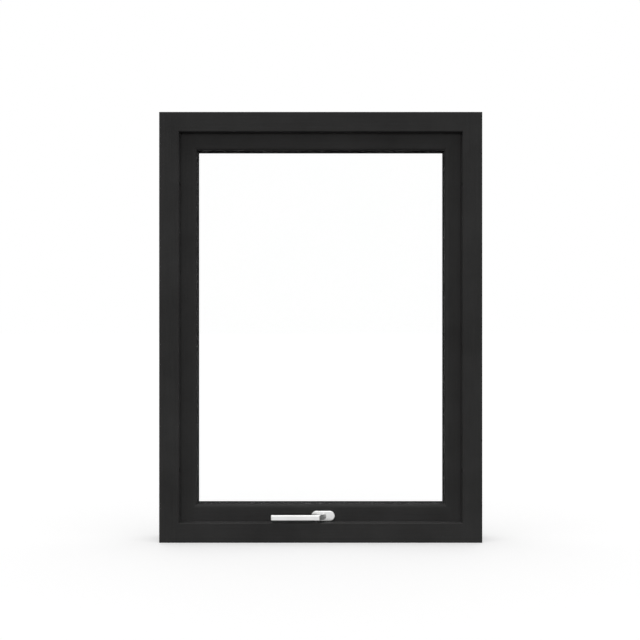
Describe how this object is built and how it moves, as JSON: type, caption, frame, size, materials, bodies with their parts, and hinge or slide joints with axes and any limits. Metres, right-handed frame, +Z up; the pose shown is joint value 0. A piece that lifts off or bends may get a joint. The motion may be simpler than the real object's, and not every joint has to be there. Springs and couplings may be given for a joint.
{
  "type": "top-hung window",
  "caption": "Closed top-hung window with a dark timber frame and outward-opening sash, sealed glass, head hinges and a satin metal lever handle.",
  "frame": {"origin": "middle of the sill's underside, at half the frame's depth", "axes": "+X to the right seen from the room, +Y outwards from the room, +Z up"},
  "size_m": [0.9, 0.121, 1.2],
  "materials": {
    "painted_timber": "matt near-black paint",
    "coated_aluminium": "matt near-black powder coat",
    "clear_glass": "clear",
    "edge_spacer": "matt black",
    "black_rubber": "matt black",
    "hinge_metal": "satin black coat",
    "satin_handle": "satin plated",
    "spindle_steel": "plain"
  },
  "bodies": {
    "window": {"frame_head": "painted_timber", "frame_sill": "painted_timber", "frame_left_jamb": "painted_timber", "frame_right_jamb": "painted_timber", "sash_top_rail": "painted_timber", "sash_bottom_rail": "painted_timber", "sash_left_stile": "painted_timber", "sash_right_stile": "painted_timber", "top_bead": "painted_timber", "left_bead": "painted_timber", "right_bead": "painted_timber", "bottom_bead": "coated_aluminium", "drip_rail": "coated_aluminium", "inner_pane": "clear_glass", "middle_pane": "clear_glass", "outer_pane": "clear_glass", "inner_spacer": "edge_spacer", "outer_spacer": "edge_spacer", "frame_seal": "black_rubber", "glazing_tape": "black_rubber", "glazing_seal": "black_rubber", "left_hinge_frame_leaf": "hinge_metal", "left_hinge_sash_leaf": "hinge_metal", "left_hinge_pin": "hinge_metal", "right_hinge_frame_leaf": "hinge_metal", "right_hinge_sash_leaf": "hinge_metal", "right_hinge_pin": "hinge_metal", "handle_rosette": "satin_handle"},
    "handle": {"handle_lever": "satin_handle", "handle_spindle": "spindle_steel"}
  },
  "joints": [
    {"name": "handle_turn", "type": "hinge", "parent": "window", "child": "handle", "pos_m": [0.0066, -0.0185, 0.0693], "axis": [0, 1, 0], "range_deg": [0, 90]}
  ]
}
